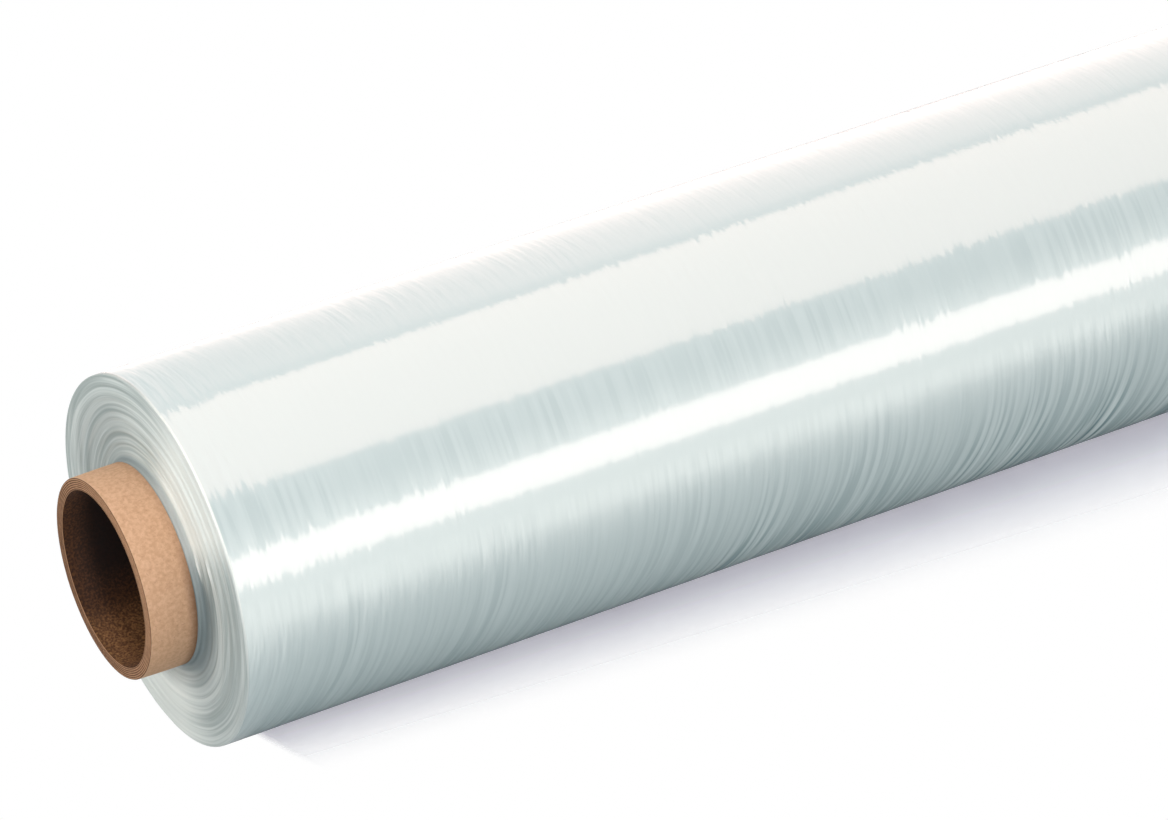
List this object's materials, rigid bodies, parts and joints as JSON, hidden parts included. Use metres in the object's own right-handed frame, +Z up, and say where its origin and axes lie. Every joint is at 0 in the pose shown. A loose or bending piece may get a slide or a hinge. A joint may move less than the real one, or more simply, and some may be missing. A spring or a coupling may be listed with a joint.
{
  "type": "stretch wrap roll",
  "caption": "Hand roll of clear stretch film wound on a paper tube that stands out a little at both ends, lying on its side.",
  "frame": {"origin": "on the floor, at the middle of the roll's length, under its axis", "axes": "+X along the roll's axis, +Z up, +Y level across the roll"},
  "size_m": [0.532, 0.107, 0.1065],
  "materials": {
    "core_paper": "spiral-wound brown paper tube, matte with a faint mottle",
    "film": "tightly wound clear stretch film, glossy, milky grey-green in depth"
  },
  "bodies": {
    "root": {"core_tube": "core_paper", "film_winding": "film"}
  },
  "joints": []
}
